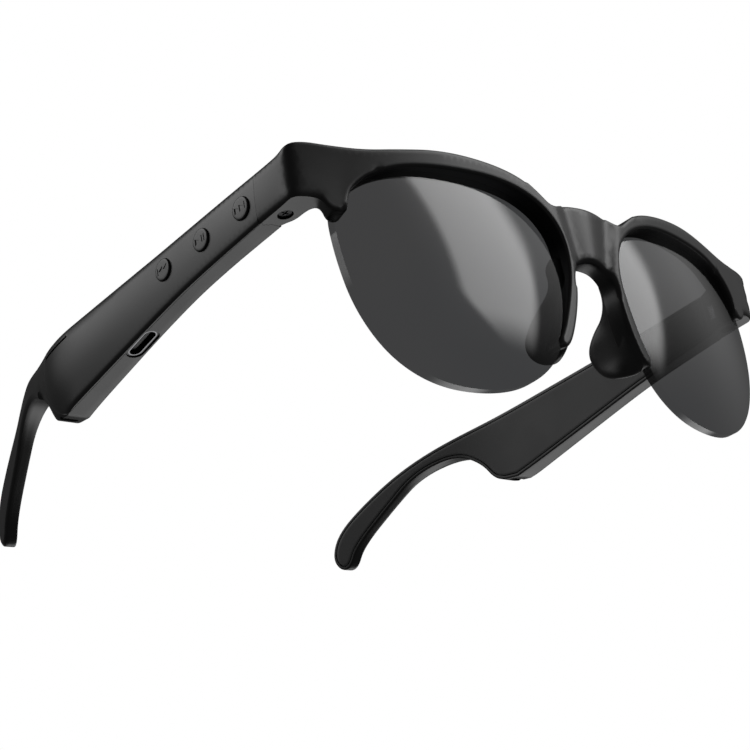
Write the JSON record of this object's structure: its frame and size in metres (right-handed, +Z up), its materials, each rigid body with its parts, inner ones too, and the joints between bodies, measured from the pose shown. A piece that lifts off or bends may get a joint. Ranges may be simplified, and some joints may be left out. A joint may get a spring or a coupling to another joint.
{
  "type": "smart glasses",
  "caption": "Half-rim smart sunglasses: tinted lenses, curved front, folding temples with speakers, press buttons and a charging port.",
  "frame": {"origin": "on the supporting surface, under the middle of the open glasses' box", "axes": "+X to the wearer's left, +Y from the front to the ear tips, +Z up; the glasses stand open on the lower edges of the lenses and on the ear tips"},
  "size_m": [0.1546, 0.1548, 0.0515],
  "materials": {
    "frame_plastic": "matte, fine moulded grain",
    "cover_plastic": "matte, soft sheen",
    "inner_plastic": "matte",
    "button_plastic": "satin",
    "tinted_lens": "polished grey tint",
    "pad_silicone": "soft, satin",
    "hinge_steel": "brushed",
    "screw_steel": "blackened",
    "core_steel": "drawn",
    "flex_copper": "polyimide film",
    "board_green": "solder mask",
    "chip_black": "moulded",
    "mic_metal": "plated",
    "switch_metal": "bright",
    "port_steel": "bright drawn shell",
    "port_tongue": "moulded",
    "cell_foil": "laminate foil",
    "speaker_black": "moulded",
    "sound_mesh": "fine woven mesh"
  },
  "bodies": {
    "front": {"front_frame": "frame_plastic", "lens_left": "tinted_lens", "lens_right": "tinted_lens", "nose_pad_left": "pad_silicone", "nose_pad_right": "pad_silicone", "hinge_screws": "screw_steel", "brow_flex": "flex_copper"},
    "temple_left": {"temple_body_left": "frame_plastic", "outer_cover_left": "cover_plastic", "inner_cover_left": "inner_plastic", "hinge_leaf_left": "hinge_steel", "core_wire_left": "core_steel", "battery_left": "cell_foil", "speaker_left": "speaker_black", "outlet_mesh_left": "sound_mesh", "vent_mesh_left": "sound_mesh", "link_board_left": "board_green"},
    "temple_right": {"temple_body_right": "frame_plastic", "outer_cover_right": "cover_plastic", "inner_cover_right": "inner_plastic", "hinge_leaf_right": "hinge_steel", "core_wire_right": "core_steel", "battery_right": "cell_foil", "speaker_right": "speaker_black", "outlet_mesh_right": "sound_mesh", "vent_mesh_right": "sound_mesh", "main_board": "board_green", "board_chips": "chip_black", "microphone": "mic_metal", "tact_switches": "switch_metal", "usb_c_shell": "port_steel", "usb_c_tongue": "port_tongue"},
    "next_button": {"button_next": "button_plastic"},
    "play_button": {"button_play": "button_plastic"},
    "previous_button": {"button_previous": "button_plastic"}
  },
  "joints": [
    {"name": "left_temple_hinge", "type": "hinge", "parent": "front", "child": "temple_left", "pos_m": [0.0717, -0.05945, 0.04093], "axis": [0, 0.1419, 0.9899], "range_deg": [0, 85]},
    {"name": "right_temple_hinge", "type": "hinge", "parent": "front", "child": "temple_right", "pos_m": [-0.0717, -0.05945, 0.04093], "axis": [0, -0.1419, -0.9899], "range_deg": [0, 74]},
    {"name": "next_button_press", "type": "slide", "parent": "temple_right", "child": "next_button", "axis": [1, 0, 0], "range_m": [0, 0.0003], "stiffness_N_per_m": 2000, "springref_m": -0.00005},
    {"name": "play_button_press", "type": "slide", "parent": "temple_right", "child": "play_button", "axis": [1, 0, 0], "range_m": [0, 0.0003], "stiffness_N_per_m": 2000, "springref_m": -0.00005},
    {"name": "previous_button_press", "type": "slide", "parent": "temple_right", "child": "previous_button", "axis": [1, 0, 0], "range_m": [0, 0.0003], "stiffness_N_per_m": 2000, "springref_m": -0.00005}
  ]
}
